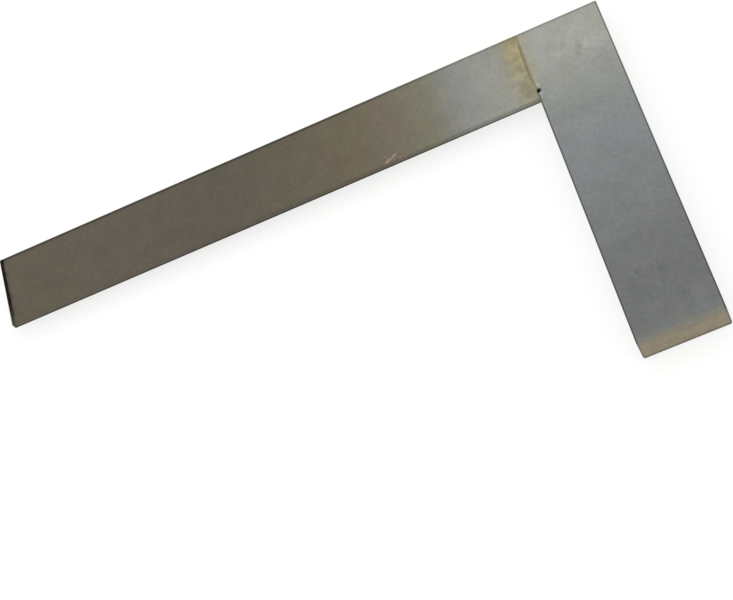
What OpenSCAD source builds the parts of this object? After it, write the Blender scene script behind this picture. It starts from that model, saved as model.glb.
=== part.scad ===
// Engineer's square: a thin ground blade let into the slotted end of a thicker stock.
// The blade runs along X, the stock along Y, and the square lies flat on one side of its stock.

/* [Blade] */
// Free length of the blade, from the stock's inner face to the tip
blade_free_l = 150; // [80:1:300]
// Width of the blade, across its two measuring edges
blade_w = 21; // [14:0.5:40]
// Thickness of the blade
blade_t = 2; // [1.5:0.1:5]
// Broken edge along the blade's arrises
blade_chamfer = 0.2; // [0.1:0.05:0.4]

/* [Stock] */
// Width of the stock, from its inner to its outer measuring face
stock_w = 22; // [16:0.5:40]
// Thickness of the stock, between its two side faces
stock_t = 9; // [8:0.5:20]
// Length of the stock's inner measuring face, from the blade's inner edge to the free end
stock_inner_l = 75; // [40:1:160]
// Chamfer along the stock's edges
stock_chamfer = 0.4; // [0.2:0.05:0.6]
// How far the blade's outer edge stands proud of the stock's slotted end
blade_proud = 2.6; // [0.5:0.1:3]

/* [Joint] */
// Thickness of the braze film on each side of the tongue and at the slot's root
braze_gap = 0.1; // [0.05:0.01:0.2]
// Diameter of the two locating pins
pin_d = 3; // [2:0.1:4]
// Radial clearance of a pin in the blade and the cheeks
pin_clearance = 0.01; // [0.01:0.005:0.03]
// Distance from the stock's inner face to the first pin's axis
pin_inset = 7; // [5:0.1:8]
// Distance between the two pins' axes
pin_pitch = 7.5; // [6:0.1:8]

/* [Corner relief] */
// Diameter of the relief hole drilled through the inner corner, so that no swarf is caught there
relief_d = 1.3; // [1.3:0.1:2]
// Distance from the stock's inner face to the relief hole's axis
relief_inset = 0.6; // [0.3:0.05:0.6]

/* [Hidden] */
$fn = 64;
through = 1;

// Heights of the blade inside the stock's thickness
blade_z = (stock_t - blade_t) / 2;
slot_t = blade_t + 2 * braze_gap;
slot_z = blade_z - braze_gap;

// Places along X and Y, with the inner corner at zero
tip_x = -blade_free_l;
outer_face_x = stock_w;
outer_edge_y = blade_w;
slotted_end_y = blade_w - blade_proud;
free_end_y = -stock_inner_l;
slot_root_y = -braze_gap;
pin_y = blade_w / 2;
pin_r = pin_d / 2;

// The origin sits under the middle of the whole outline
origin_x = (tip_x + outer_face_x) / 2;
origin_y = (free_end_y + outer_edge_y) / 2;

// Rectangle from one corner to the other with its four corners cut at 45 degrees
module chamfered_rectangle(size, c) {
    polygon([
        [c, 0],
        [size.x - c, 0],
        [size.x, c],
        [size.x, size.y - c],
        [size.x - c, size.y],
        [c, size.y],
        [0, size.y - c],
        [0, c],
    ]);
}

// Bar with all twelve edges chamfered: three crossed extrusions of its chamfered sections
module chamfered_bar(size, c) {
    intersection() {
        linear_extrude(size.z)
            chamfered_rectangle([size.x, size.y], c);
        translate([0, size.y, 0])
            rotate([90, 0, 0])
                linear_extrude(size.y)
                    chamfered_rectangle([size.x, size.z], c);
        rotate([90, 0, 90])
            linear_extrude(size.x)
                chamfered_rectangle([size.y, size.z], c);
    }
}

// Everything is drawn from the inner corner and then set on the part's own origin
module seated() {
    translate([-origin_x, -origin_y, 0])
        children();
}

// Straight hole or pin along Z, right through the stock
module cross_cylinder(x, y, r, over) {
    translate([x, y, -over])
        cylinder(r = r, h = stock_t + 2 * over);
}

// The slot that takes the tongue: open at the slotted end and on both measuring faces
module slot_space() {
    translate([-through, slot_root_y, slot_z])
        cube([stock_w + 2 * through, outer_edge_y - slot_root_y + through, slot_t]);
}

module pin_bore(index) {
    cross_cylinder(pin_inset + index * pin_pitch, pin_y, pin_r + pin_clearance, through);
}

module pin_bores() {
    for (index = [0, 1])
        pin_bore(index);
}

// Drilled on the line of the blade's inner edge, where it opens into the inner corner
module relief_hole() {
    cross_cylinder(relief_inset, 0, relief_d / 2, through);
}

module blade_plate() {
    translate([tip_x, 0, blade_z])
        chamfered_bar([blade_free_l + stock_w, blade_w, blade_t], blade_chamfer);
}

module pin(index) {
    cross_cylinder(pin_inset + index * pin_pitch, pin_y, pin_r, 0);
}

module stock() {
    color([0.60, 0.60, 0.58])
        seated()
            difference() {
                translate([0, free_end_y, 0])
                    chamfered_bar([stock_w, slotted_end_y - free_end_y, stock_t], stock_chamfer);
                slot_space();
                pin_bores();
                relief_hole();
            }
}

module blade() {
    color([0.44, 0.42, 0.37])
        seated()
            difference() {
                blade_plate();
                pin_bores();
                relief_hole();
            }
}

// Film of filler that wets both sides of the tongue and the root of the slot
module braze() {
    color([0.62, 0.52, 0.30])
        seated()
            difference() {
                translate([0, slot_root_y, slot_z])
                    cube([stock_w, slotted_end_y - slot_root_y, slot_t]);
                translate([-through, 0, blade_z])
                    cube([stock_w + 2 * through, blade_w, blade_t]);
                pin_bores();
                relief_hole();
            }
}

module inner_pin() {
    color([0.56, 0.56, 0.55])
        seated()
            pin(0);
}

module outer_pin() {
    color([0.56, 0.56, 0.55])
        seated()
            pin(1);
}

stock();
blade();
braze();
inner_pin();
outer_pin();
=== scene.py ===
"""Looks of an engineer's square: finishes, braze beads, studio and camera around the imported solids."""

import logging
import math
from abc import ABC, abstractmethod
from dataclasses import dataclass, field
from enum import Enum
from typing import Any, Mapping, Optional, Sequence, Union

import bpy
from mathutils import Matrix, Vector


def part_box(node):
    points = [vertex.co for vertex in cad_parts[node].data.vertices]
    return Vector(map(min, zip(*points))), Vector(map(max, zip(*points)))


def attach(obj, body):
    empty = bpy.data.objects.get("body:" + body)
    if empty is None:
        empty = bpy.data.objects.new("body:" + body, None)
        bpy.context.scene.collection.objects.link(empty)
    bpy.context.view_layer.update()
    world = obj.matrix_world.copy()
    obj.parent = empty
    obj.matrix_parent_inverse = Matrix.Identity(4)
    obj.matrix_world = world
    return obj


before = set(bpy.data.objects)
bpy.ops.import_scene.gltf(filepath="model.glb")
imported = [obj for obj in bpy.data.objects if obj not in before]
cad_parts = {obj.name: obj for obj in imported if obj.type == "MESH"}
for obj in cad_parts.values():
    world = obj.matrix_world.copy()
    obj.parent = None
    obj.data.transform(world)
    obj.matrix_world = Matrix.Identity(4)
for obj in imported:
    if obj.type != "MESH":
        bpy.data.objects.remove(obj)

LOG = logging.getLogger("engineer_square")
BODY = "root"
MM_PER_M = 1000.0

IMAGE_WIDTH_PX = 733
SENSOR_WIDTH_MM = 36.0

# Numbers of a Mix node's sockets for colours, and the settings with which it multiplies them
MIX_FACTOR, MIX_UNDER, MIX_OVER, MIX_RESULT = 0, 6, 7, 2
MULTIPLIED = {"data_type": "RGBA", "blend_type": "MULTIPLY"}

# Ranges of a noise texture: nearly all its values, a wider range, and only its sparse peaks
FROM_NOISE = {"From Min": 0.3, "From Max": 0.7}
FROM_WIDE_NOISE = {"From Min": 0.25, "From Max": 0.75}
FROM_PEAKS = {"From Min": 0.74, "From Max": 0.82}
# From the rim of a mark to the half of its reach where it is full
FROM_RIM = {"From Min": 1.0, "From Max": 0.5}

# Least share of a normal along an axis where a face is square to it, or along a direction it faces
SQUARE_ON = 0.95
FACING = 0.9
# Chamfers that face up and towards the stock's free end show light and get no painted shade
LIT_ARRIS_WAY = (0.0, -math.sqrt(0.5), math.sqrt(0.5))

Socket = bpy.types.NodeSocket
Tree = bpy.types.NodeTree
Key = Union[str, int]


class Axis(Enum):
    """Axis of the part, as the index of its coordinate."""

    X = 0
    Y = 1
    Z = 2


class Side(Enum):
    """Side of the blade, as the angle at which the quarter round of its bead starts."""

    UPPER = math.pi
    LOWER = math.pi / 2


class Node(Enum):
    """Solids of the square."""

    STOCK = "stock"
    BLADE = "blade"
    BRAZE = "braze"
    INNER_PIN = "inner_pin"
    OUTER_PIN = "outer_pin"

    def box_mm(self) -> tuple[Vector, Vector]:
        """Gives the lowest and the highest corner of the solid, in millimetres."""
        low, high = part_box(self.value)
        return (low * MM_PER_M, high * MM_PER_M)

    def dress(self, material: bpy.types.Material) -> None:
        """Gives the solid its material.

        Args:
            material: its finish.
        """
        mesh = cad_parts[self.value].data
        mesh.materials.clear()
        mesh.materials.append(material)
        LOG.info("dressed %s in %s", self.value, material.name)


def mm(value: float) -> float:
    """Millimetres as metres."""
    return value / MM_PER_M


def linear(code: str) -> tuple[float, float, float, float]:
    """Turns an sRGB hex colour into a linear one.

    Args:
        code: colour such as "#A0A098".

    Returns:
        Linear red, green, blue and an alpha of one.
    """
    red, green, blue = (
        share / 12.92 if share <= 0.04045 else ((share + 0.055) / 1.055) ** 2.4
        for share in (int(code[start : start + 2], 16) / 255.0 for start in (1, 3, 5))
    )
    return (red, green, blue, 1.0)


def all_channels(factor: float) -> tuple[float, float, float, float]:
    """One factor for red, green and blue alike."""
    return (factor, factor, factor, 1.0)


def add_node(
    tree: Tree,
    kind: str,
    settings: Optional[Mapping[Key, Any]] = None,
    links: Optional[Mapping[Key, Socket]] = None,
) -> bpy.types.Node:
    """Adds a node with its settings and links.

    Args:
        tree: node tree that gets the node.
        kind: Blender's type name of the node.
        settings: values by input name, input number or property; "stops" fills a colour ramp.
        links: sockets that feed the inputs, by input name or number.

    Returns:
        The new node.
    """
    node = tree.nodes.new(kind)
    for key, value in (settings or {}).items():
        if key == "stops":
            elements = node.color_ramp.elements
            while len(elements) < len(value):
                elements.new(1.0)
            for element, (place, code) in zip(elements, value):
                element.position = place
                element.color = linear(code)
        elif isinstance(key, int) or key in node.inputs:
            node.inputs[key].default_value = value
        else:
            setattr(node, key, value)
    for key, socket in (links or {}).items():
        tree.links.new(socket, node.inputs[key])
    return node


def blank_material(name: str) -> tuple[bpy.types.Material, Tree]:
    """Makes a material without nodes.

    Args:
        name: name of the material.

    Returns:
        The material and its empty node tree.
    """
    material = bpy.data.materials.new(name)
    material.use_nodes = True
    material.node_tree.nodes.clear()
    return (material, material.node_tree)


@dataclass(frozen=True)
class Tone:
    """Colour that a steel face has at one place along its piece."""

    place_mm: float
    code: str


@dataclass(frozen=True)
class Gate:
    """Stretch along a second axis over which a tint gains its full strength."""

    axis: Axis
    weak_mm: float
    full_mm: float
    weakest: float


# A gate that is open all over the part
EVERYWHERE = Gate(Axis.Z, -1.0, 0.0, 1.0)


@dataclass(frozen=True)
class TintBand:
    """Heat tint, wear or dirt that fades in from a clear to a fully tinted place."""

    axis: Axis
    clear_mm: float
    full_mm: float
    pale: str
    deep: str
    strength: float
    mottle_mm: float = 3.0
    waver_mm: float = 1.0
    gate: Gate = EVERYWHERE


@dataclass(frozen=True)
class Mark:
    """One bright score, dark smudge or painted highlight in the ground face, as seen from above."""

    place_mm: tuple[float, float]
    run_mm: float
    width_mm: float
    angle_deg: float
    gain: float


@dataclass(frozen=True)
class FootDarkening:
    """Darkening of the upright faces of a piece towards their foot."""

    foot_mm: float
    rise_mm: float
    shade: float


@dataclass(frozen=True, kw_only=True)
class Metal(ABC):
    """Bare metal with a surface pattern that varies its gloss and stands out as a fine relief."""

    name: str
    roughness: float
    roughness_spread: float
    relief: float
    relief_mm: float

    @abstractmethod
    def pattern(self, tree: Tree, coords: Socket) -> Socket:
        """Draws the surface pattern, from 0 to 1."""

    @abstractmethod
    def colour(self, tree: Tree, coords: Socket, pattern: Socket) -> Socket:
        """Draws the colour of the metal."""

    def build(self) -> bpy.types.Material:
        """Makes the material.

        Returns:
            The finished procedural material.
        """
        material, tree = blank_material(self.name)
        coords = add_node(tree, "ShaderNodeTexCoord").outputs["Object"]
        pattern = self.pattern(tree, coords)
        colour = self.colour(tree, coords, pattern)
        rough = add_node(
            tree,
            "ShaderNodeMapRange",
            {
                "To Min": self.roughness - self.roughness_spread,
                "To Max": self.roughness + self.roughness_spread,
            },
            {"Value": pattern},
        )
        bump = add_node(
            tree,
            "ShaderNodeBump",
            {"Strength": self.relief, "Distance": mm(self.relief_mm)},
            {"Height": pattern},
        )
        shader = add_node(
            tree,
            "ShaderNodeBsdfPrincipled",
            {"Metallic": 1.0},
            {"Base Color": colour, "Roughness": rough.outputs[0], "Normal": bump.outputs[0]},
        )
        add_node(tree, "ShaderNodeOutputMaterial", links={"Surface": shader.outputs[0]})
        return material


@dataclass(frozen=True, kw_only=True)
class GroundSteel(Metal):
    """Surface-ground tool steel with the tints and scores of its making and use and painted chamfer
    shade.
    """

    grind_axis: Axis
    tones: tuple[Tone, ...]
    bands: tuple[TintBand, ...]
    marks: tuple[Mark, ...]
    foot_darkening: FootDarkening
    arris_shade: float
    shade: float = 1.0
    roughness: float = 0.40
    roughness_spread: float = 0.06
    relief: float = 0.35
    relief_mm: float = 0.004
    # Real grinding lines lie about 0.05 mm apart; they are drawn at 0.35 mm to show in the render.
    line_mm: float = 0.35
    line_run_mm: float = 30.0
    stain_mm: float = 6.0
    speckle_mm: float = 1.1
    oil_mm: float = 5.0
    # Factors of brightness at the darkest and the palest places of each pattern
    stain_factors: tuple[float, float] = (0.96, 1.10)
    speckle_factors: tuple[float, float] = (0.92, 1.08)
    line_factors: tuple[float, float] = (0.97, 1.03)
    oil_cast: tuple[tuple[float, str], ...] = ((0.35, "#FAFCFC"), (0.65, "#FEFBF8"))
    # Hairline scores from use are about 0.03 mm wide; they are drawn at 0.12 mm to show.
    hairline_mm: float = 0.12
    hairline_run_mm: float = 7.0
    hairline_gain: float = 1.2
    hairline_angles_deg: tuple[float, ...] = (24.0, -37.0, 71.0)
    # Places in the noise at which a tint has its deep and its pale colour
    deep_at: float = 0.35
    pale_at: float = 0.62

    def pattern(self, tree: Tree, coords: Socket) -> Socket:
        """Draws fine lines along the grinding direction.

        Args:
            tree: the material's nodes.
            coords: object coordinates in metres.

        Returns:
            Height of the lines from 0 to 1.
        """
        scale = [1.0 / mm(self.line_mm)] * len(Axis)
        scale[self.grind_axis.value] = 1.0 / mm(self.line_run_mm)
        stretched = add_node(
            tree, "ShaderNodeMapping", {"Scale": tuple(scale)}, {"Vector": coords}
        )
        noise = add_node(
            tree,
            "ShaderNodeTexNoise",
            {"Scale": 1.0, "Detail": 3.0, "Roughness": 0.6},
            {"Vector": stretched.outputs[0]},
        )
        return noise.outputs[0]

    def colour(self, tree: Tree, coords: Socket, pattern: Socket) -> Socket:
        """Lays painted shade on the chamfers, tints, scores, marks and darker feet over the ground
        faces.

        Args:
            tree: the material's nodes.
            coords: object coordinates in metres.
            pattern: height of the grinding lines from 0 to 1.

        Returns:
            Colour of the whole piece.
        """
        colour = self.ground_faces(tree, coords, pattern)
        colour = self.shaded_arrises(tree, colour)
        for band in self.bands:
            colour = self.tinted(tree, coords, colour, band)
        for angle in self.hairline_angles_deg:
            colour = self.scored(tree, coords, colour, angle)
        for mark in self.marks:
            colour = self.marked(tree, coords, colour, mark)
        return self.darken_feet(tree, coords, colour)

    def ground_faces(self, tree: Tree, coords: Socket, lines: Socket) -> Socket:
        """Runs the tones along the piece, with stains, speckle, grinding lines and a cast of oil.

        Args:
            tree: the material's nodes.
            coords: object coordinates in metres.
            lines: height of the grinding lines from 0 to 1.

        Returns:
            Colour of the ground faces.
        """
        first, last = self.tones[0].place_mm, self.tones[-1].place_mm
        place = add_node(tree, "ShaderNodeSeparateXYZ", links={"Vector": coords})
        along = add_node(
            tree,
            "ShaderNodeMapRange",
            {"From Min": mm(first), "From Max": mm(last)},
            {"Value": place.outputs[self.grind_axis.value]},
        )
        stops = [((tone.place_mm - first) / (last - first), tone.code) for tone in self.tones]
        ground = add_node(tree, "ShaderNodeValToRGB", {"stops": stops}, {"Fac": along.outputs[0]})
        stains = add_node(
            tree,
            "ShaderNodeTexNoise",
            {"Scale": 1.0 / mm(self.stain_mm), "Detail": 5.0, "Roughness": 0.65},
            {"Vector": coords},
        )
        speckle = add_node(
            tree,
            "ShaderNodeTexNoise",
            {"Scale": 1.0 / mm(self.speckle_mm), "Detail": 3.0, "Roughness": 0.6},
            {"Vector": coords},
        )
        oil = add_node(
            tree,
            "ShaderNodeTexNoise",
            {"Scale": 1.0 / mm(self.oil_mm), "Detail": 2.0, "Distortion": 0.6},
            {"Vector": coords},
        )
        layers = [
            add_node(
                tree,
                "ShaderNodeMapRange",
                {**values, "To Min": darkest * shade, "To Max": palest * shade},
                {"Value": pattern},
            )
            for pattern, values, (darkest, palest), shade in (
                (stains.outputs[0], FROM_NOISE, self.stain_factors, self.shade),
                (speckle.outputs[0], FROM_WIDE_NOISE, self.speckle_factors, 1.0),
                (lines, FROM_WIDE_NOISE, self.line_factors, 1.0),
            )
        ]
        layers.append(
            add_node(
                tree, "ShaderNodeValToRGB", {"stops": self.oil_cast}, {"Fac": oil.outputs[0]}
            )
        )
        colour = ground.outputs[0]
        for layer in layers:
            mixed = add_node(
                tree,
                "ShaderNodeMix",
                {**MULTIPLIED, MIX_FACTOR: 1.0},
                {MIX_UNDER: colour, MIX_OVER: layer.outputs[0]},
            )
            colour = mixed.outputs[MIX_RESULT]
        return colour

    def shaded_arrises(self, tree: Tree, colour: Socket) -> Socket:
        """Paints shade on the chamfers, which no axis is square to, but for those facing the lit way.

        Args:
            tree: the material's nodes.
            colour: colour of the flat faces.

        Returns:
            Colour with painted shade on the chamfers.
        """
        normal = add_node(tree, "ShaderNodeNewGeometry").outputs["True Normal"]
        size = add_node(tree, "ShaderNodeVectorMath", {"operation": "ABSOLUTE"}, {0: normal})
        shares = add_node(tree, "ShaderNodeSeparateXYZ", links={"Vector": size.outputs[0]}).outputs
        level = add_node(
            tree,
            "ShaderNodeMath",
            {"operation": "MAXIMUM"},
            {0: shares["X"], 1: shares["Y"]},
        )
        largest = add_node(
            tree,
            "ShaderNodeMath",
            {"operation": "MAXIMUM"},
            {0: level.outputs[0], 1: shares["Z"]},
        )
        slanted = add_node(
            tree,
            "ShaderNodeMath",
            {"operation": "LESS_THAN", 1: SQUARE_ON},
            {0: largest.outputs[0]},
        )
        turned = add_node(
            tree,
            "ShaderNodeVectorMath",
            {"operation": "DOT_PRODUCT", 1: LIT_ARRIS_WAY},
            {0: normal},
        )
        not_lit_way = add_node(
            tree,
            "ShaderNodeMath",
            {"operation": "LESS_THAN", 1: FACING},
            {0: turned.outputs["Value"]},
        )
        arris_shade_mask = add_node(
            tree,
            "ShaderNodeMath",
            {"operation": "MULTIPLY"},
            {0: slanted.outputs[0], 1: not_lit_way.outputs[0]},
        )
        # Painted shade: chamfers that do not face the lit way are darkened by arris_shade
        darkened = add_node(
            tree,
            "ShaderNodeMix",
            {**MULTIPLIED, MIX_OVER: all_channels(self.arris_shade)},
            {MIX_FACTOR: arris_shade_mask.outputs[0], MIX_UNDER: colour},
        )
        return darkened.outputs[MIX_RESULT]

    def tinted(self, tree: Tree, coords: Socket, colour: Socket, band: TintBand) -> Socket:
        """Fades a mottled tint in along one coordinate.

        Args:
            tree: the material's nodes.
            coords: object coordinates in metres.
            colour: colour under the tint.
            band: where the tint lies and what it looks like.

        Returns:
            Colour with the tint.
        """
        place = add_node(tree, "ShaderNodeSeparateXYZ", links={"Vector": coords})
        mottle = add_node(
            tree,
            "ShaderNodeTexNoise",
            {"Scale": 1.0 / mm(band.mottle_mm), "Detail": 4.0, "Roughness": 0.6},
            {"Vector": coords},
        )
        hue = add_node(
            tree,
            "ShaderNodeValToRGB",
            {"stops": [(self.deep_at, band.deep), (self.pale_at, band.pale)]},
            {"Fac": mottle.outputs[0]},
        )
        shift = add_node(
            tree,
            "ShaderNodeMapRange",
            {**FROM_NOISE, "To Min": -mm(band.waver_mm), "To Max": mm(band.waver_mm)},
            {"Value": mottle.outputs[0]},
        )
        wavering = add_node(
            tree,
            "ShaderNodeMath",
            {"operation": "ADD"},
            {0: place.outputs[band.axis.value], 1: shift.outputs[0]},
        )
        mask = add_node(
            tree,
            "ShaderNodeMapRange",
            {
                "interpolation_type": "SMOOTHSTEP",
                "From Min": mm(band.clear_mm),
                "From Max": mm(band.full_mm),
                "To Max": band.strength,
            },
            {"Value": wavering.outputs[0]},
        )
        gate = band.gate
        opened = add_node(
            tree,
            "ShaderNodeMapRange",
            {
                "From Min": mm(gate.weak_mm),
                "From Max": mm(gate.full_mm),
                "To Min": gate.weakest,
            },
            {"Value": place.outputs[gate.axis.value]},
        )
        amount = add_node(
            tree,
            "ShaderNodeMath",
            {"operation": "MULTIPLY"},
            {0: mask.outputs[0], 1: opened.outputs[0]},
        )
        mixed = add_node(
            tree,
            "ShaderNodeMix",
            {"data_type": "RGBA"},
            {MIX_FACTOR: amount.outputs[0], MIX_UNDER: colour, MIX_OVER: hue.outputs[0]},
        )
        return mixed.outputs[MIX_RESULT]

    def scored(self, tree: Tree, coords: Socket, colour: Socket, angle_deg: float) -> Socket:
        """Draws sparse hairline scores in one direction.

        Args:
            tree: the material's nodes.
            coords: object coordinates in metres.
            colour: colour under the scores.
            angle_deg: direction of the scores, seen from above.

        Returns:
            Colour with the scores.
        """
        turned = add_node(
            tree,
            "ShaderNodeMapping",
            {"Rotation": (0.0, 0.0, -math.radians(angle_deg))},
            {"Vector": coords},
        )
        across = 1.0 / mm(self.hairline_mm)
        drawn_out = add_node(
            tree,
            "ShaderNodeMapping",
            {"Scale": (1.0 / mm(self.hairline_run_mm), across, across)},
            {"Vector": turned.outputs[0]},
        )
        noise = add_node(
            tree,
            "ShaderNodeTexNoise",
            {"Scale": 1.0, "Detail": 0.0},
            {"Vector": drawn_out.outputs[0]},
        )
        mask = add_node(tree, "ShaderNodeMapRange", FROM_PEAKS, {"Value": noise.outputs[0]})
        brightened = add_node(
            tree,
            "ShaderNodeMix",
            {**MULTIPLIED, MIX_OVER: all_channels(self.hairline_gain)},
            {MIX_FACTOR: mask.outputs[0], MIX_UNDER: colour},
        )
        return brightened.outputs[MIX_RESULT]

    def marked(self, tree: Tree, coords: Socket, colour: Socket, mark: Mark) -> Socket:
        """Draws one mark that fades out towards its rim.

        Args:
            tree: the material's nodes.
            coords: object coordinates in metres.
            colour: colour under the mark.
            mark: place and size of the mark.

        Returns:
            Colour with the mark.
        """
        x, y = mark.place_mm
        local = add_node(
            tree,
            "ShaderNodeMapping",
            {
                "vector_type": "TEXTURE",
                "Location": (mm(x), mm(y), 0.0),
                "Rotation": (0.0, 0.0, math.radians(mark.angle_deg)),
                "Scale": (mm(mark.run_mm / 2), mm(mark.width_mm / 2), 1.0),
            },
            {"Vector": coords},
        )
        flat = add_node(
            tree,
            "ShaderNodeVectorMath",
            {"operation": "MULTIPLY", 1: (1.0, 1.0, 0.0)},
            {0: local.outputs[0]},
        )
        reach = add_node(
            tree, "ShaderNodeVectorMath", {"operation": "LENGTH"}, {0: flat.outputs[0]}
        )
        mask = add_node(tree, "ShaderNodeMapRange", FROM_RIM, {"Value": reach.outputs["Value"]})
        changed = add_node(
            tree,
            "ShaderNodeMix",
            {**MULTIPLIED, MIX_OVER: all_channels(mark.gain)},
            {MIX_FACTOR: mask.outputs[0], MIX_UNDER: colour},
        )
        return changed.outputs[MIX_RESULT]

    def darken_feet(self, tree: Tree, coords: Socket, colour: Socket) -> Socket:
        """Darkens the upright faces near their foot.

        Args:
            tree: the material's nodes.
            coords: object coordinates in metres.
            colour: clean colour.

        Returns:
            Colour darker towards the foot of the upright faces.
        """
        foot, rise = self.foot_darkening.foot_mm, self.foot_darkening.rise_mm
        place = add_node(tree, "ShaderNodeSeparateXYZ", links={"Vector": coords})
        low = add_node(
            tree,
            "ShaderNodeMapRange",
            {
                "interpolation_type": "SMOOTHSTEP",
                "From Min": mm(foot + rise),
                "From Max": mm(foot),
            },
            {"Value": place.outputs["Z"]},
        )
        normal = add_node(tree, "ShaderNodeNewGeometry").outputs["True Normal"]
        lean = add_node(tree, "ShaderNodeSeparateXYZ", links={"Vector": normal})
        tilt = add_node(tree, "ShaderNodeMath", {"operation": "ABSOLUTE"}, {0: lean.outputs["Z"]})
        upright = add_node(
            tree, "ShaderNodeMath", {"operation": "LESS_THAN", 1: FACING}, {0: tilt.outputs[0]}
        )
        mask = add_node(
            tree,
            "ShaderNodeMath",
            {"operation": "MULTIPLY"},
            {0: low.outputs[0], 1: upright.outputs[0]},
        )
        darkened = add_node(
            tree,
            "ShaderNodeMix",
            {**MULTIPLIED, MIX_OVER: all_channels(self.foot_darkening.shade)},
            {MIX_FACTOR: mask.outputs[0], MIX_UNDER: colour},
        )
        return darkened.outputs[MIX_RESULT]


@dataclass(frozen=True, kw_only=True)
class BrazeFiller(Metal):
    """Brazing filler, slightly grainy where it froze."""

    pale: str
    deep: str
    roughness: float = 0.5
    roughness_spread: float = 0.1
    relief: float = 0.4
    relief_mm: float = 0.03
    grain_mm: float = 0.6
    # Heights of the grain at which the filler has its deep and its pale colour
    deep_at: float = 0.3
    pale_at: float = 0.7

    def pattern(self, tree: Tree, coords: Socket) -> Socket:
        """Draws the grain of the filler.

        Args:
            tree: the material's nodes.
            coords: object coordinates in metres.

        Returns:
            Height of the grain from 0 to 1.
        """
        grain = add_node(
            tree,
            "ShaderNodeTexNoise",
            {"Scale": 1.0 / mm(self.grain_mm), "Detail": 3.0},
            {"Vector": coords},
        )
        return grain.outputs[0]

    def colour(self, tree: Tree, coords: Socket, pattern: Socket) -> Socket:
        """Runs from the deep to the pale colour with the grain.

        Args:
            tree: the material's nodes.
            coords: object coordinates in metres; not used.
            pattern: height of the grain from 0 to 1.

        Returns:
            Colour of the filler.
        """
        stops = [(self.deep_at, self.deep), (self.pale_at, self.pale)]
        hue = add_node(tree, "ShaderNodeValToRGB", {"stops": stops}, {"Fac": pattern})
        return hue.outputs[0]


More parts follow.
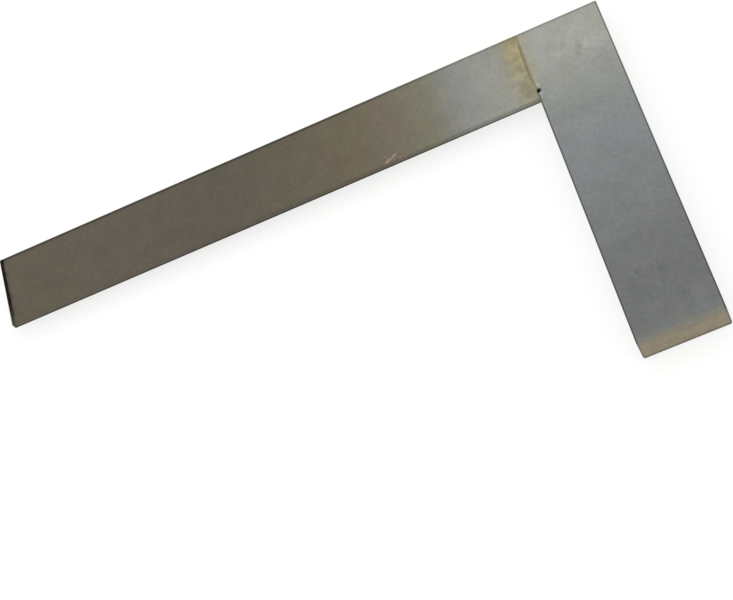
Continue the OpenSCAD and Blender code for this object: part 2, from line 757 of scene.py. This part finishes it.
@dataclass
class Stock:
    """The thick bar with its two flush pins; its corners and places are in millimetres."""

    low: Vector = field(default_factory=lambda: Node.STOCK.box_mm()[0])
    high: Vector = field(default_factory=lambda: Node.STOCK.box_mm()[1])
    inner_edge: float = field(default_factory=lambda: Node.BLADE.box_mm()[0].y)
    pin_shade: float = 0.96

    def tones(self) -> tuple[Tone, ...]:
        """Runs the steel's own grey along the bar, plus a painted highlight towards the slotted end.

        Returns:
            Tones from the free end, which is darker, to the slotted end.
        """
        end = self.low.y
        return (
            Tone(end, "#6D706C"),
            Tone(end + 4.0, "#686A6A"),
            Tone(end + 16.0, "#666768"),
            Tone(end + 36.0, "#6F7272"),
            Tone(end + 56.0, "#777A7C"),
            Tone(end + 66.0, "#7B7F7D"),
            Tone(end + 77.0, "#878984"),
            Tone(end + 83.0, "#92938D"),
            Tone(self.high.y, "#90918A"),
        )

    def along_joint(self) -> Gate:
        """Gives the stretch past the blade's inner edge where the joint's tints begin."""
        return Gate(Axis.Y, self.inner_edge, self.inner_edge + 2.0, 0.0)

    def heat_tints(self) -> tuple[TintBand, ...]:
        """Lists the straw tints that heat has left.

        Returns:
            Tints of the free end, of the upper face beside the joint and of the inner face there.
        """
        joint, end, top, inner = self.low.x, self.low.y, self.high.z, self.inner_edge
        free_end = TintBand(
            axis=Axis.Y,
            clear_mm=end + 1.4,
            full_mm=end,
            pale="#968B72",
            deep="#8A7F68",
            strength=0.95,
            waver_mm=0.4,
            gate=Gate(Axis.Z, top + 1.0, top - 3.0, 0.2),
        )
        beside_joint = TintBand(
            axis=Axis.X,
            clear_mm=joint + 4.0,
            full_mm=joint,
            pale="#918D78",
            deep="#8B8873",
            strength=0.6,
            gate=self.along_joint(),
        )
        inner_face = TintBand(
            axis=Axis.X,
            clear_mm=joint + 0.3,
            full_mm=joint + 0.1,
            pale="#918D78",
            deep="#8B8873",
            strength=0.55,
            waver_mm=0.05,
            gate=Gate(Axis.Y, inner - 8.0, inner + 1.0, 0.0),
        )
        return (free_end, beside_joint, inner_face)

    def edge_wear_and_highlight(self) -> tuple[TintBand, ...]:
        """Lists the rubbed edge, the painted highlight over the joint and the dark edge lines.

        Returns:
            Bands of the free end's upper edge, the painted highlight on the edge over the joint, the
            slotted end and the free end's two corners.
        """
        joint, outer = self.low.x, self.high.x
        end, slotted_end, top = self.low.y, self.high.y, self.high.z
        rubbed_end = TintBand(
            axis=Axis.Z,
            clear_mm=top - 1.3,
            full_mm=top - 0.35,
            pale="#8A877C",
            deep="#827F74",
            strength=0.9,
            waver_mm=0.1,
            gate=Gate(Axis.Y, end + 0.5, end + 0.1, 0.0),
        )
        # Painted highlight: the edge over the joint is laid pale, as a chamfer catching the light
        joint_edge_highlight = TintBand(
            axis=Axis.X,
            clear_mm=joint + 0.7,
            full_mm=joint + 0.45,
            pale="#98937C",
            deep="#8B856E",
            strength=0.9,
            mottle_mm=1.5,
            waver_mm=0.1,
            gate=self.along_joint(),
        )
        dark_end = TintBand(
            axis=Axis.Y,
            clear_mm=slotted_end - 0.9,
            full_mm=slotted_end - 0.5,
            pale="#5A5B56",
            deep="#50514C",
            strength=0.4,
            waver_mm=0.1,
        )
        dark_corners = (
            TintBand(
                axis=Axis.X,
                clear_mm=face + 0.55 * inwards,
                full_mm=face + 0.35 * inwards,
                pale="#4A463C",
                deep="#3C392F",
                strength=0.7,
                waver_mm=0.05,
                gate=Gate(Axis.Y, end + 1.2, end + 0.5, 0.0),
            )
            for face, inwards in ((joint, 1.0), (outer, -1.0))
        )
        return (rubbed_end, joint_edge_highlight, dark_end, *dark_corners)

    def marks(self) -> tuple[Mark, ...]:
        """Lists the painted highlights and the smudges of the upper face.

        Returns:
            Marks with their place, run, width, angle and gain.
        """
        joint, end, inner = self.low.x, self.low.y, self.inner_edge
        # Painted highlights on the edge over the joint and on the corner below the hole
        joint_gleams = (
            Mark((joint + 0.15, inner + 5.0), 14.0, 0.8, 90.0, 1.2),
            Mark((joint + 0.9, inner - 0.8), 1.6, 1.1, 90.0, 1.4),
            Mark((joint + 0.9, inner + 1.7), 1.3, 1.3, 90.0, 1.3),
            Mark((joint + 0.9, inner + 4.4), 1.2, 0.6, 90.0, 1.15),
        )
        slotted_end_smudges = (
            Mark((joint + 16.5, inner + 8.5), 12.0, 9.0, 90.0, 1.05),
            Mark((joint + 13.4, inner + 7.0), 6.0, 2.8, 71.0, 0.9),
            Mark((joint + 10.4, inner + 10.2), 5.0, 2.6, 71.0, 0.92),
            Mark((joint + 13.0, inner + 5.6), 2.4, 1.9, 71.0, 0.94),
            Mark((joint + 13.9, inner + 7.7), 2.6, 1.9, 71.0, 0.94),
            Mark((joint + 15.7, inner + 7.4), 4.4, 1.8, 85.0, 1.12),
        )
        free_end_smudges = (
            Mark((joint + 17.5, end + 5.0), 7.0, 6.0, 90.0, 1.07),
            Mark((joint + 4.5, end + 12.0), 8.0, 6.0, 90.0, 0.94),
            Mark((joint + 6.4, end + 17.3), 2.6, 2.0, 60.0, 0.88),
            Mark((joint + 11.8, end + 15.7), 2.4, 1.8, 100.0, 0.9),
            Mark((joint + 12.0, end + 13.6), 2.0, 1.6, 100.0, 0.91),
            Mark((joint + 6.3, end + 14.3), 2.4, 1.8, 70.0, 1.08),
            Mark((joint + 8.8, end + 11.8), 3.8, 2.2, 113.0, 0.93),
        )
        return (*joint_gleams, *slotted_end_smudges, *free_end_smudges)

    def finish(self, name: str, shade: float) -> GroundSteel:
        """Gives the steel of the bar or of its pins.

        Args:
            name: name of the material.
            shade: share of the bar's own brightness.

        Returns:
            The finish.
        """
        return GroundSteel(
            name=name,
            grind_axis=Axis.Y,
            tones=self.tones(),
            bands=(*self.heat_tints(), *self.edge_wear_and_highlight()),
            marks=self.marks(),
            foot_darkening=FootDarkening(foot_mm=self.low.z, rise_mm=1.9, shade=0.2),
            arris_shade=0.62,
            shade=shade,
        )

    def build(self) -> None:
        """Dresses the bar and the pins."""
        # Surface-ground steel: a cool satin grey with fine lines along the bar, straw where it was hot
        Node.STOCK.dress(self.finish("ground_stock_steel", 1.0).build())
        # Pins ground flush with the bar: the same lines run on over them, a shade darker
        pin_steel = self.finish("ground_pin_steel", self.pin_shade).build()
        Node.INNER_PIN.dress(pin_steel)
        Node.OUTER_PIN.dress(pin_steel)


@dataclass
class Blade:
    """The thin plate that runs out of the stock; its corners and places are in millimetres."""

    low: Vector = field(default_factory=lambda: Node.BLADE.box_mm()[0])
    high: Vector = field(default_factory=lambda: Node.BLADE.box_mm()[1])
    joint: float = field(default_factory=lambda: Node.STOCK.box_mm()[0].x)

    def tones(self) -> tuple[Tone, ...]:
        """Runs the colour of the steel along the blade.

        Returns:
            Tones from the brownish tip to the cleaner grey at the joint.
        """
        joint = self.joint
        return (
            Tone(self.low.x, "#635D51"),
            Tone(joint - 108.0, "#605950"),
            Tone(joint - 88.0, "#5C574D"),
            Tone(joint - 68.0, "#5F594E"),
            Tone(joint - 48.0, "#655E4F"),
            Tone(joint - 38.0, "#6B6458"),
            Tone(joint - 28.0, "#6F6D5E"),
            Tone(joint - 18.0, "#7F807E"),
            Tone(joint - 12.0, "#868781"),
            Tone(joint, "#888880"),
        )

    def joint_tints(self) -> tuple[TintBand, ...]:
        """Lists the tints near the stock.

        Returns:
            The straw beside the joint and the clean end of the tongue.
        """
        joint, inner = self.joint, self.low.y
        straw = TintBand(
            axis=Axis.X,
            clear_mm=joint - 9.0,
            full_mm=joint - 1.5,
            pale="#9A9271",
            deep="#827B5F",
            strength=0.95,
            waver_mm=1.5,
            gate=Gate(Axis.Y, inner - 3.0, inner + 15.0, 0.3),
        )
        ground_tongue = TintBand(
            axis=Axis.X,
            clear_mm=joint + 0.5,
            full_mm=joint + 2.0,
            pale="#90918A",
            deep="#898A83",
            strength=1.0,
            waver_mm=0.3,
        )
        return (straw, ground_tongue)

    def dark_edges(self) -> tuple[TintBand, ...]:
        """Lists the dark edges of the blade.

        Returns:
            Bands of the outer edge, of the darkening at the tip and of the painted shadow line on it.
        """
        tip, joint = self.low.x, self.joint
        inner, outer = self.low.y, self.high.y
        towards_outer = Gate(Axis.Y, inner - 1.0, inner + 7.0, 0.3)
        outer_edge = TintBand(
            axis=Axis.Y,
            clear_mm=outer - 1.1,
            full_mm=outer - 0.65,
            pale="#302D26",
            deep="#24221C",
            strength=0.6,
            waver_mm=0.1,
            gate=Gate(Axis.X, joint - 20.0, joint - 55.0, 0.45),
        )
        # Darker towards the tip, round the painted shadow line
        scale = TintBand(
            axis=Axis.X,
            clear_mm=tip + 2.4,
            full_mm=tip + 0.8,
            pale="#4A443A",
            deep="#2C281F",
            strength=0.45,
            waver_mm=0.4,
            gate=towards_outer,
        )
        # Painted shadow: a near-black line across the tip
        tip_shadow_line = TintBand(
            axis=Axis.X,
            clear_mm=tip + 1.35,
            full_mm=tip + 0.9,
            pale="#1C1912",
            deep="#12100B",
            strength=0.95,
            waver_mm=0.1,
            gate=towards_outer,
        )
        return (outer_edge, scale, tip_shadow_line)

    def marks(self) -> tuple[Mark, ...]:
        """Lists the scores, flecks and lighter and darker patches of the upper face.

        Returns:
            Marks with their place, run, width, angle and gain.
        """
        joint, inner = self.joint, self.low.y
        scratch = (
            Mark((joint - 40.6, inner + 1.05), 4.2, 0.5, 27.0, 1.7),
            Mark((joint - 41.4, inner + 1.15), 2.4, 0.4, 30.0, 1.5),
            Mark((joint - 42.0, inner + 0.5), 1.4, 0.45, 14.0, 1.6),
            Mark((joint - 39.5, inner + 1.75), 1.6, 0.5, 12.0, 1.5),
        )
        flecks = (
            Mark((joint - 41.75, inner + 2.3), 0.9, 0.6, 20.0, 1.35),
            Mark((joint - 38.25, inner + 0.4), 1.2, 0.6, 60.0, 1.3),
            Mark((joint - 36.9, inner + 0.2), 0.9, 0.6, 20.0, 1.35),
            Mark((joint - 42.3, inner + 1.5), 0.9, 0.5, 20.0, 0.65),
            Mark((joint - 85.6, inner + 14.0), 0.8, 0.4, 20.0, 1.5),
        )
        # A lighter strip along the joint and a darker patch by the inner corner
        beside_joint = (
            Mark((joint - 1.1, inner + 12.5), 13.0, 1.0, 88.0, 1.15),
            Mark((joint - 2.5, inner + 3.9), 6.5, 4.2, 95.0, 0.8),
        )
        return (*scratch, *flecks, *beside_joint)

    def build(self) -> None:
        """Dresses the blade."""
        # Hardened and ground steel: a brownish satin, straw at the joint, a painted shadow line at the
        # tip
        steel = GroundSteel(
            name="hardened_blade_steel",
            grind_axis=Axis.X,
            tones=self.tones(),
            bands=(*self.joint_tints(), *self.dark_edges()),
            marks=self.marks(),
            foot_darkening=FootDarkening(foot_mm=self.low.z, rise_mm=1.4, shade=0.15),
            arris_shade=0.45,
        )
        Node.BLADE.dress(steel.build())


@dataclass
class BrazedJoint:
    """The filler round the tongue and the fine beads along both sides of the blade."""

    bead_mm: float = 0.45
    waver_mm: float = 0.08
    ripple_mm: float = 1.6
    # Distances of a bead's ends from the blade's inner edge and the stock's slotted end
    inner_gap_mm: float = 5.0
    outer_gap_mm: float = 0.4
    # Share of the length that tapers at each end, and share of the radius that is left there
    taper_share: float = 0.05
    end_share: float = 0.25
    rings: int = 96
    arc_points: int = 8
    seed: int = 5

    def bead_radius(self, tree: Tree, given: Mapping[str, Socket]) -> Socket:
        """Lets the radius waver along the bead and taper at its ends.

        Args:
            tree: rule of the bead.
            given: named inputs of the rule.

        Returns:
            Radius at each point of the bead's line.
        """
        place = add_node(tree, "GeometryNodeInputPosition")
        ripple = add_node(
            tree,
            "ShaderNodeTexNoise",
            {"noise_dimensions": "4D", "Detail": 1.0},
            {"Vector": place.outputs[0], "W": given["Seed"], "Scale": given["Ripple"]},
        )
        swing = add_node(
            tree,
            "ShaderNodeMapRange",
            {**FROM_NOISE, "To Min": -1.0, "To Max": 1.0},
            {"Value": ripple.outputs[0]},
        )
        wavering = add_node(
            tree,
            "ShaderNodeMath",
            {"operation": "MULTIPLY_ADD"},
            {0: swing.outputs[0], 1: given["Waver"], 2: given["Radius"]},
        )
        along = add_node(tree, "GeometryNodeSplineParameter").outputs["Factor"]
        from_end = add_node(tree, "ShaderNodeMath", {"operation": "PINGPONG", 1: 0.5}, {0: along})
        taper = add_node(
            tree,
            "ShaderNodeMapRange",
            {"From Max": self.taper_share, "To Min": self.end_share},
            {"Value": from_end.outputs[0]},
        )
        radius = add_node(
            tree,
            "ShaderNodeMath",
            {"operation": "MULTIPLY"},
            {0: wavering.outputs[0], 1: taper.outputs[0]},
        )
        return radius.outputs[0]

    def bead_rule(self, material: bpy.types.Material) -> Tree:
        """Builds the rule of a bead, a quarter round along a line.

        Args:
            material: finish of the bead.

        Returns:
            Geometry node tree with named inputs.
        """
        tree = bpy.data.node_groups.new("braze_bead", "GeometryNodeTree")
        for name in ("Start", "End"):
            tree.interface.new_socket(name, in_out="INPUT", socket_type="NodeSocketVector")
        for name in ("Radius", "Waver", "Ripple", "Seed", "Quarter"):
            tree.interface.new_socket(name, in_out="INPUT", socket_type="NodeSocketFloat")
        tree.interface.new_socket("Bead", in_out="OUTPUT", socket_type="NodeSocketGeometry")
        given = add_node(tree, "NodeGroupInput").outputs
        line = add_node(
            tree,
            "GeometryNodeCurvePrimitiveLine",
            links={"Start": given["Start"], "End": given["End"]},
        )
        fine_line = add_node(
            tree, "GeometryNodeResampleCurve", {"Count": self.rings}, {"Curve": line.outputs[0]}
        )
        section = add_node(
            tree,
            "GeometryNodeCurveArc",
            {
                "Resolution": self.arc_points,
                "Radius": 1.0,
                "Sweep Angle": math.pi / 2,
                "Connect Center": True,
            },
            {"Start Angle": given["Quarter"]},
        )
        bead = add_node(
            tree,
            "GeometryNodeCurveToMesh",
            {"Fill Caps": True},
            {
                "Curve": fine_line.outputs[0],
                "Profile Curve": section.outputs[0],
                "Scale": self.bead_radius(tree, given),
            },
        )
        whole = add_node(
            tree, "GeometryNodeRealizeInstances", links={"Geometry": bead.outputs[0]}
        )
        coated = add_node(
            tree, "GeometryNodeSetMaterial", {"Material": material}, {"Geometry": whole.outputs[0]}
        )
        add_node(tree, "NodeGroupOutput", links={"Bead": coated.outputs[0]})
        return tree

    def lay_bead(self, name: str, rule: Tree, start: Vector, end: Vector, side: Side) -> None:
        """Lays one bead along a line.

        Args:
            name: name of the piece.
            rule: rule of the bead.
            start: first end, in metres.
            end: other end, in metres.
            side: side of the blade that it lies on.
        """
        carrier = bpy.data.objects.new(name + "_rule", bpy.data.meshes.new(name + "_rule"))
        bpy.context.scene.collection.objects.link(carrier)
        modifier = carrier.modifiers.new("bead", "NODES")
        modifier.node_group = rule
        values = {
            "Start": start,
            "End": end,
            "Radius": mm(self.bead_mm),
            "Waver": mm(self.waver_mm),
            "Ripple": 1.0 / mm(self.ripple_mm),
            "Seed": float(self.seed),
            "Quarter": side.value,
        }
        for item in rule.interface.items_tree:
            if item.in_out == "INPUT":
                modifier[item.identifier] = values[item.name]
        shaped = carrier.evaluated_get(bpy.context.evaluated_depsgraph_get())
        mesh = bpy.data.meshes.new_from_object(shaped)
        bpy.data.objects.remove(carrier)
        piece = bpy.data.objects.new(name, mesh)
        bpy.context.scene.collection.objects.link(piece)
        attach(piece, BODY)
        LOG.info("laid %s with %d faces", name, len(mesh.polygons))

    def build(self) -> None:
        """Dresses the filler and lays a bead on each side of the blade."""
        # Brazing filler ground flush: a dull straw metal, seen as a thin line along the slot
        filler = BrazeFiller(name="brazing_filler", pale="#A39A72", deep="#6E6749")
        Node.BRAZE.dress(filler.build())
        # Filler that froze under flux: paler and greyer, mottled like the tint beside it
        stained = BrazeFiller(name="flux_stained_filler", pale="#A89E7F", deep="#80775D")
        rule = self.bead_rule(stained.build())
        stock_low, stock_high = Node.STOCK.box_mm()
        blade_low, blade_high = Node.BLADE.box_mm()
        inner = blade_low.y + self.inner_gap_mm
        outer = stock_high.y - self.outer_gap_mm
        for side, height in ((Side.UPPER, blade_high.z), (Side.LOWER, blade_low.z)):
            start = Vector((stock_low.x, inner, height)) / MM_PER_M
            end = Vector((stock_low.x, outer, height)) / MM_PER_M
            self.lay_bead(f"{side.name.lower()}_bead", rule, start, end, side)


@dataclass
class Studio:
    """Pale floor, even white surroundings and one broad soft lamp."""

    floor_half_m: float = 3.0
    floor_drop_mm: float = 0.05
    floor_code: str = "#989896"
    floor_glow: float = 0.75
    surround_code: str = "#FFFFFF"
    surround_strength: float = 0.90
    lamp_watts: float = 0.5
    lamp_size_m: float = 0.6
    lamp_place_m: tuple[float, float, float] = (0.075, 0.50, 0.80)
    lamp_aim_m: tuple[float, float, float] = (0.075, 0.03, 0.0)

    def build(self) -> None:
        """Makes floor, surroundings and lamp."""
        self.floor()
        self.surroundings()
        self.lamp()

    def looked_at(self, tree: Tree) -> Socket:
        """Finds the rays that look at the backdrop, straight, in a reflection or through glass.

        Args:
            tree: nodes of the floor or of the surroundings.

        Returns:
            1 for such a ray and 0 for one that only brings light.
        """
        ray = add_node(tree, "ShaderNodeLightPath").outputs
        plain = add_node(
            tree,
            "ShaderNodeMath",
            {"operation": "MAXIMUM"},
            {0: ray["Is Camera Ray"], 1: ray["Is Glossy Ray"]},
        )
        looking = add_node(
            tree,
            "ShaderNodeMath",
            {"operation": "MAXIMUM"},
            {0: plain.outputs[0], 1: ray["Is Transmission Ray"]},
        )
        return looking.outputs[0]

    def floor(self) -> None:
        """Lays the floor, which shows white to the eye and in reflections but keeps its shadows."""
        half, level = self.floor_half_m, -mm(self.floor_drop_mm)
        corners = [
            (-half, -half, level),
            (half, -half, level),
            (half, half, level),
            (-half, half, level),
        ]
        mesh = bpy.data.meshes.new("floor")
        mesh.from_pydata(corners, [], [(0, 1, 2, 3)])
        floor = bpy.data.objects.new("floor", mesh)
        bpy.context.scene.collection.objects.link(floor)
        # Matt paper: an even pale ground without gloss, lifted to white where it is looked at
        material, tree = blank_material("pale_floor_paper")
        paper = add_node(tree, "ShaderNodeBsdfDiffuse", {"Color": linear(self.floor_code)})
        lift = add_node(
            tree,
            "ShaderNodeMath",
            {"operation": "MULTIPLY", 1: self.floor_glow},
            {0: self.looked_at(tree)},
        )
        glow = add_node(tree, "ShaderNodeEmission", links={"Strength": lift.outputs[0]})
        both = add_node(
            tree, "ShaderNodeAddShader", links={0: paper.outputs[0], 1: glow.outputs[0]}
        )
        add_node(tree, "ShaderNodeOutputMaterial", links={"Surface": both.outputs[0]})
        mesh.materials.append(material)

    def surroundings(self) -> None:
        """Sets even surroundings that show as plain white where they are looked at."""
        world = bpy.data.worlds.new("white_studio")
        bpy.context.scene.world = world
        world.use_nodes = True
        tree = world.node_tree
        tree.nodes.clear()
        strength = add_node(
            tree,
            "ShaderNodeMapRange",
            {"To Min": self.surround_strength},
            {"Value": self.looked_at(tree)},
        )
        air = add_node(
            tree,
            "ShaderNodeBackground",
            {"Color": linear(self.surround_code)},
            {"Strength": strength.outputs[0]},
        )
        add_node(tree, "ShaderNodeOutputWorld", links={"Surface": air.outputs[0]})

    def lamp(self) -> None:
        """Hangs the soft lamp that brightens the corner of the square."""
        data = bpy.data.lights.new("softbox", "AREA")
        data.shape = "DISK"
        data.size = self.lamp_size_m
        data.energy = self.lamp_watts
        lamp = bpy.data.objects.new("softbox", data)
        bpy.context.scene.collection.objects.link(lamp)
        place = Vector(self.lamp_place_m)
        towards = Vector(self.lamp_aim_m) - place
        turned = towards.to_track_quat("-Z", "Y").to_matrix().to_4x4()
        lamp.matrix_world = Matrix.Translation(place) @ turned


@dataclass
class PhotoCamera:
    """Camera at the photograph's viewing angle."""

    aim_mm: tuple[float, float, float] = (6.334, -6.907, 4.5)
    distance_mm: float = 463.9
    azimuth_deg: float = -72.292
    elevation_deg: float = 58.342
    roll_deg: float = -37.903
    focal_px: float = 1882.5
    clip_start_m: float = 0.01

    def build(self) -> None:
        """Places the camera and makes it the scene's own."""
        turn, rise = math.radians(self.azimuth_deg), math.radians(self.elevation_deg)
        back = Vector(
            (math.cos(rise) * math.cos(turn), math.cos(rise) * math.sin(turn), math.sin(rise))
        )
        level = Vector((-math.sin(turn), math.cos(turn), 0.0))
        roll = math.radians(self.roll_deg)
        right = level * math.cos(roll) + back.cross(level) * math.sin(roll)
        up = back.cross(right)
        place = (Vector(self.aim_mm) + back * self.distance_mm) / MM_PER_M
        data = bpy.data.cameras.new("photo_camera")
        data.sensor_fit = "HORIZONTAL"
        data.sensor_width = SENSOR_WIDTH_MM
        data.lens = self.focal_px * SENSOR_WIDTH_MM / IMAGE_WIDTH_PX
        data.clip_start = self.clip_start_m
        camera = bpy.data.objects.new("photo_camera", data)
        bpy.context.scene.collection.objects.link(camera)
        turned = Matrix((right, up, back)).transposed().to_4x4()
        camera.matrix_world = Matrix.Translation(place) @ turned
        bpy.context.scene.camera = camera


def main() -> None:
    """Builds the looks of the square in order."""
    logging.basicConfig(level=logging.INFO)
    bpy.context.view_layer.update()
    bpy.context.scene.view_settings.view_transform = "Standard"
    PhotoCamera().build()
    Studio().build()
    Stock().build()
    Blade().build()
    BrazedJoint().build()


if __name__ == "__main__":
    main()
